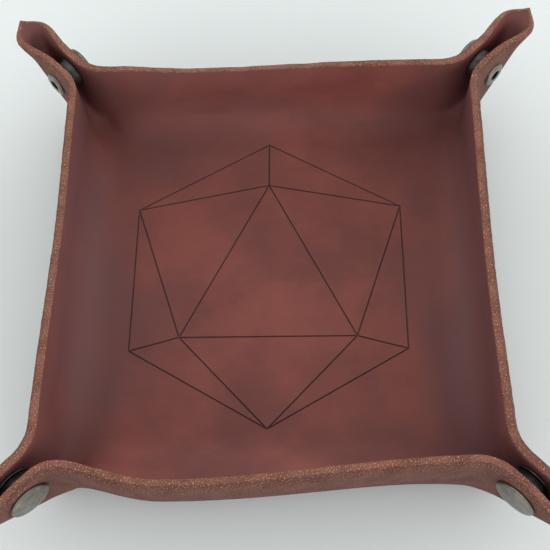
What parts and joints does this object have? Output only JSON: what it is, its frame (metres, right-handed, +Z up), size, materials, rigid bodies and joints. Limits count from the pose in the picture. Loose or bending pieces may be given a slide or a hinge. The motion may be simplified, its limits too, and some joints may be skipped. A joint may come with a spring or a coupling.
{
  "type": "dice tray",
  "caption": "Square leather tray with pinched corners held by metal ring snaps and an icosahedron engraved in its floor; it unsnaps and folds out nearly flat.",
  "frame": {"origin": "on the ground under the middle of the tray's floor", "axes": "+Z up, +Y towards the back wall, +X towards the right wall"},
  "size_m": [0.2172, 0.2172, 0.0398],
  "materials": {
    "hide": "smooth reddish-brown grain inside, raw suede outside",
    "snap_metal": "antique nickel plate, satin",
    "spring_wire": "bright spring wire"
  },
  "bodies": {
    "base": {"floor": "hide"},
    "back_wall": {"wall_back": "hide"},
    "left_wall": {"wall_left": "hide"},
    "front_wall": {"wall_front": "hide"},
    "right_wall": {"wall_right": "hide"},
    "cap_half_back_right": {"cap_ear_back_right": "hide", "cap_back_right": "snap_metal", "socket_back_right": "snap_metal", "spring_back_right": "spring_wire"},
    "cap_half_back_left": {"cap_ear_back_left": "hide", "cap_back_left": "snap_metal", "socket_back_left": "snap_metal", "spring_back_left": "spring_wire"},
    "cap_half_front_left": {"cap_ear_front_left": "hide", "cap_front_left": "snap_metal", "socket_front_left": "snap_metal", "spring_front_left": "spring_wire"},
    "cap_half_front_right": {"cap_ear_front_right": "hide", "cap_front_right": "snap_metal", "socket_front_right": "snap_metal", "spring_front_right": "spring_wire"},
    "post_half_back_right": {"post_ear_back_right": "hide", "stud_back_right": "snap_metal", "post_back_right": "snap_metal"},
    "post_half_back_left": {"post_ear_back_left": "hide", "stud_back_left": "snap_metal", "post_back_left": "snap_metal"},
    "post_half_front_left": {"post_ear_front_left": "hide", "stud_front_left": "snap_metal", "post_front_left": "snap_metal"},
    "post_half_front_right": {"post_ear_front_right": "hide", "stud_front_right": "snap_metal", "post_front_right": "snap_metal"}
  },
  "joints": [
    {"name": "front_fold", "type": "hinge", "parent": "base", "child": "front_wall", "pos_m": [0, -0.081, 0.002], "axis": [1, 0, 0], "range_deg": [0, 66]},
    {"name": "back_fold", "type": "hinge", "parent": "base", "child": "back_wall", "pos_m": [0, 0.081, 0.002], "axis": [-1, 0, 0], "range_deg": [0, 66]},
    {"name": "left_fold", "type": "hinge", "parent": "base", "child": "left_wall", "pos_m": [-0.081, 0, 0.002], "axis": [0, -1, 0], "range_deg": [0, 66]},
    {"name": "right_fold", "type": "hinge", "parent": "base", "child": "right_wall", "pos_m": [0.081, 0, 0.002], "axis": [0, 1, 0], "range_deg": [0, 66]},
    {"name": "turn_back_right", "type": "hinge", "parent": "back_wall", "child": "cap_half_back_right", "pos_m": [0.07489, 0.08039, 0.002], "axis": [0, 0, -1], "range_deg": [0, 35.2]},
    {"name": "turn_back_left", "type": "hinge", "parent": "back_wall", "child": "cap_half_back_left", "pos_m": [-0.07489, 0.08039, 0.002], "axis": [0, 0, 1], "range_deg": [0, 35.2]},
    {"name": "turn_front_left", "type": "hinge", "parent": "front_wall", "child": "cap_half_front_left", "pos_m": [-0.07489, -0.08039, 0.002], "axis": [0, 0, -1], "range_deg": [0, 35.2]},
    {"name": "turn_front_right", "type": "hinge", "parent": "front_wall", "child": "cap_half_front_right", "pos_m": [0.07489, -0.08039, 0.002], "axis": [0, 0, 1], "range_deg": [0, 35.2]},
    {"name": "pinch_back_right", "type": "hinge", "parent": "cap_half_back_right", "child": "post_half_back_right", "pos_m": [0.0807, 0.0807, 0.00242], "axis": [0.5, 0.5, 0.7071], "range_deg": [0, 131.1]},
    {"name": "pinch_back_left", "type": "hinge", "parent": "cap_half_back_left", "child": "post_half_back_left", "pos_m": [-0.0807, 0.0807, 0.00242], "axis": [0.5, -0.5, -0.7071], "range_deg": [0, 131.1]},
    {"name": "pinch_front_left", "type": "hinge", "parent": "cap_half_front_left", "child": "post_half_front_left", "pos_m": [-0.0807, -0.0807, 0.00242], "axis": [-0.5, -0.5, 0.7071], "range_deg": [0, 131.1]},
    {"name": "pinch_front_right", "type": "hinge", "parent": "cap_half_front_right", "child": "post_half_front_right", "pos_m": [0.0807, -0.0807, 0.00242], "axis": [-0.5, 0.5, -0.7071], "range_deg": [0, 131.1]}
  ],
  "couplings": [
    {"joint": "back_fold", "follows": "front_fold", "ratio": 1},
    {"joint": "left_fold", "follows": "front_fold", "ratio": 1},
    {"joint": "right_fold", "follows": "front_fold", "ratio": 1},
    {"joint": "turn_back_right", "follows": "front_fold", "ratio": 0.533},
    {"joint": "turn_back_left", "follows": "front_fold", "ratio": 0.533},
    {"joint": "turn_front_left", "follows": "front_fold", "ratio": 0.533},
    {"joint": "turn_front_right", "follows": "front_fold", "ratio": 0.533},
    {"joint": "pinch_back_right", "follows": "front_fold", "ratio": 1.986},
    {"joint": "pinch_back_left", "follows": "front_fold", "ratio": 1.986},
    {"joint": "pinch_front_left", "follows": "front_fold", "ratio": 1.986},
    {"joint": "pinch_front_right", "follows": "front_fold", "ratio": 1.986}
  ]
}
